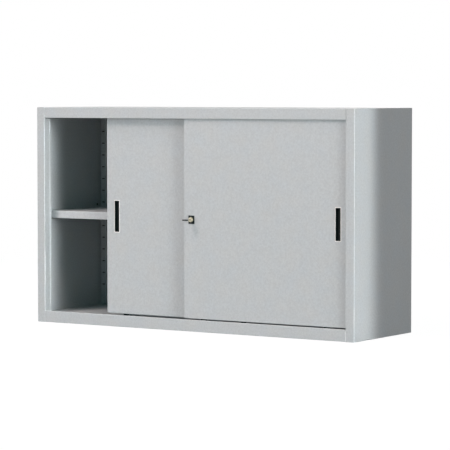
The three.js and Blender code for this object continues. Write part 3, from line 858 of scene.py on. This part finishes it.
def backdrop_share(tree):
    """1 for rays that should meet the plain backdrop: those from the camera, glass and gloss."""
    path = tree.nodes.new("ShaderNodeLightPath")
    share = path.outputs["Is Camera Ray"]
    for name in ("Is Glossy Ray", "Is Transmission Ray"):
        share = maths(tree, "MAXIMUM", share, path.outputs[name])
    return share


def make_world(studio):
    """Room with a plain backdrop that gives off only a faint light."""
    world = bpy.data.worlds.new("studio")
    bpy.context.scene.world = world
    world.use_nodes = True
    tree = world.node_tree
    colour = blended(tree, backdrop_share(tree), studio.room_light, studio.backdrop)
    tree.links.new(colour, tree.nodes["Background"].inputs["Color"])


def floor_material(studio):
    """Glow like the backdrop's, with some matt grey in it near the cabinet to keep its shadow.

    The glow is stronger there, to make up for what the grey takes away.
    """
    near = 1.5
    far = 4.0
    glow_gain = 1.08
    grey = 0.35
    material = bpy.data.materials.new("studio_floor")
    material.use_nodes = True
    tree = material.node_tree
    tree.nodes.remove(tree.nodes["Principled BSDF"])
    distance = tree.nodes.new("ShaderNodeVectorMath")
    distance.operation = "LENGTH"
    tree.links.new(surface_place(tree), distance.inputs[0])
    shadow = ranged(
        tree, distance.outputs["Value"], near, far, studio.shadow_share, 0, "SMOOTHSTEP")
    matt = tree.nodes.new("ShaderNodeBsdfDiffuse")
    matt.inputs["Color"].default_value = (grey, grey, grey, 1)
    glow = tree.nodes.new("ShaderNodeEmission")
    glow.inputs["Color"].default_value = (*studio.backdrop, 1)
    tree.links.new(maths(tree, "MULTIPLY_ADD", shadow, glow_gain, 1), glow.inputs["Strength"])
    share = maths(tree, "MULTIPLY", backdrop_share(tree), maths(tree, "SUBTRACT", 1, shadow))
    mix = tree.nodes.new("ShaderNodeMixShader")
    tree.links.new(share, mix.inputs["Fac"])
    tree.links.new(matt.outputs["BSDF"], mix.inputs[1])
    tree.links.new(glow.outputs["Emission"], mix.inputs[2])
    tree.links.new(mix.outputs["Shader"], tree.nodes["Material Output"].inputs["Surface"])
    return material


def make_floor(studio):
    """Plain floor that melts into the backdrop."""
    reach = 30.0
    corners = [(-reach, -reach, 0), (reach, -reach, 0), (reach, reach, 0), (-reach, reach, 0)]
    mesh = bpy.data.meshes.new("floor")
    mesh.from_pydata(corners, [], [(0, 1, 2, 3)])
    mesh.materials.append(floor_material(studio))
    floor = bpy.data.objects.new("floor", mesh)
    bpy.context.scene.collection.objects.link(floor)


def make_camera(studio):
    """Camera at the photo's place and angle."""
    sensor_millimetres = 36
    farthest = 100
    data = bpy.data.cameras.new("camera")
    data.lens = studio.lens
    data.sensor_width = sensor_millimetres
    data.clip_end = farthest
    camera = bpy.data.objects.new("camera", data)
    camera.location = studio.camera_place
    aim = Matrix.Rotation(studio.camera_turn, 3, "Z")
    aim @= Matrix.Rotation(math.pi / 2 - studio.camera_dip, 3, "X")
    aim @= Matrix.Rotation(studio.camera_roll, 3, "Z")
    camera.rotation_euler = aim.to_euler()
    bpy.context.scene.collection.objects.link(camera)
    bpy.context.scene.camera = camera


def direction(azimuth, elevation):
    """Unit vector towards a lamp. Azimuth 0 is in front of the cabinet, 90 on its right side."""
    turn = math.radians(azimuth)
    rise = math.radians(elevation)
    return Vector((math.sin(turn) * math.cos(rise), -math.cos(turn) * math.cos(rise), math.sin(rise)))


def add_lamp(name, data, place, away):
    """Lamp at a place, with its back turned the way that away points."""
    lamp = bpy.data.objects.new(name, data)
    lamp.location = place
    lamp.rotation_mode = "QUATERNION"
    lamp.rotation_quaternion = away.to_track_quat("Z", "Y")
    lamp.visible_camera = False
    bpy.context.scene.collection.objects.link(lamp)


def soft_light(studio, name, azimuth, elevation, power, colour):
    """Large square lamp far off that faces the middle of the cabinet."""
    data = bpy.data.lights.new(name, "AREA")
    data.shape = "SQUARE"
    data.size = studio.lamp_size
    data.energy = power
    data.color = colour
    away = direction(azimuth, elevation)
    middle = (cad_box[0] + cad_box[1]) / 2
    add_lamp(name, data, middle + away * studio.lamp_distance, away)


def grazing_beam(studio):
    """Narrow beam from the right that ends along an upright line on the right side.

    It also grazes both doors and meets the left wall's front through the opening.
    """
    azimuth = 76
    elevation = 5
    wide = 0.74
    tall = 1.3
    middle_height = 0.58
    clear_of_side = 0.35
    spread = 24
    data = bpy.data.lights.new("grazing_beam", "AREA")
    data.shape = "RECTANGLE"
    data.size = wide
    data.size_y = tall
    data.spread = math.radians(spread)
    data.energy = 2.0
    data.color = (1, 0.99, 1)
    along = direction(azimuth, 0)
    across = direction(azimuth - 90, 0)
    low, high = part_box("right_side_panel")
    edge = Vector((high[0], low[1] + studio.beam_reach, middle_height))
    edge += along * clear_of_side / along.x
    add_lamp("grazing_beam", data, edge + across * wide / 2, direction(azimuth, elevation))


WARM = (1, 0.81, 0.79)

# Azimuth and elevation in degrees, power in watts and colour of each soft lamp
SOFT_LAMPS = {
    "front_lamp": (-22, 5, 366, (1, 0.955, 0.99)),
    "raised_lamp": (-26, 42, 600, WARM),
    "upper_left_lamp": (-18, 60, 132, WARM),
    "upper_right_lamp": (50, 60, 243, WARM),
    "right_lamp": (69, 5, 190, (0.905, 0.95, 1)),
    "side_lamp": (100, 5, 104, (1, 0.35, 0.37)),
    "rear_lamp": (195, 20, 330, (1, 0.865, 0.865)),
    "left_lamp": (-95, 10, 474, (1, 0.855, 0.855)),
}


class CABINET_OT_studio(bpy.types.Operator):
    """Set up the floor, backdrop, lamps and camera"""

    bl_idname = "cabinet.studio"
    bl_label = "Studio"

    def execute(self, context):
        studio = context.scene.cabinet_studio
        context.scene.view_settings.view_transform = "Standard"
        make_world(studio)
        make_floor(studio)
        make_camera(studio)
        for name, settings in SOFT_LAMPS.items():
            soft_light(studio, name, *settings)
        grazing_beam(studio)
        return {"FINISHED"}


# Panel and registration


class CABINET_PT_steps(bpy.types.Panel):
    """The steps that dress the cabinet, in their order"""

    bl_label = "Sliding Door Cabinet"
    bl_space_type = "VIEW_3D"
    bl_region_type = "UI"
    bl_category = "Cabinet"

    def draw(self, context):
        for operator in OPERATORS:
            self.layout.operator(operator.bl_idname)
        for group in (context.scene.cabinet_paint, context.scene.cabinet_fittings,
                      context.scene.cabinet_studio):
            box = self.layout.box()
            for name in group.bl_rna.properties.keys():
                if name not in ("rna_type", "name"):
                    box.prop(group, name)


OPERATORS = (
    CABINET_OT_studio,
    CABINET_OT_carcass,
    CABINET_OT_stiffeners,
    CABINET_OT_tracks,
    CABINET_OT_racks,
    CABINET_OT_shelf,
    CABINET_OT_shelf_clips,
    CABINET_OT_wall_plug,
    CABINET_OT_door_skins,
    CABINET_OT_pulls,
    CABINET_OT_running_gear,
    CABINET_OT_lock,
    CABINET_OT_key,
)
SETTINGS = (
    ("cabinet_paint", CabinetPaint),
    ("cabinet_fittings", CabinetFittings),
    ("cabinet_studio", CabinetStudio),
)


def register():
    for name, group in SETTINGS:
        bpy.utils.register_class(group)
        setattr(bpy.types.Scene, name, PointerProperty(type=group))
    for operator in OPERATORS:
        bpy.utils.register_class(operator)
    bpy.utils.register_class(CABINET_PT_steps)


def unregister():
    bpy.utils.unregister_class(CABINET_PT_steps)
    for operator in reversed(OPERATORS):
        bpy.utils.unregister_class(operator)
    for name, group in reversed(SETTINGS):
        delattr(bpy.types.Scene, name)
        bpy.utils.unregister_class(group)


def main():
    register()
    for operator in OPERATORS:
        group, action = operator.bl_idname.split(".")
        getattr(getattr(bpy.ops, group), action)()


if __name__ == "__main__":
    main()
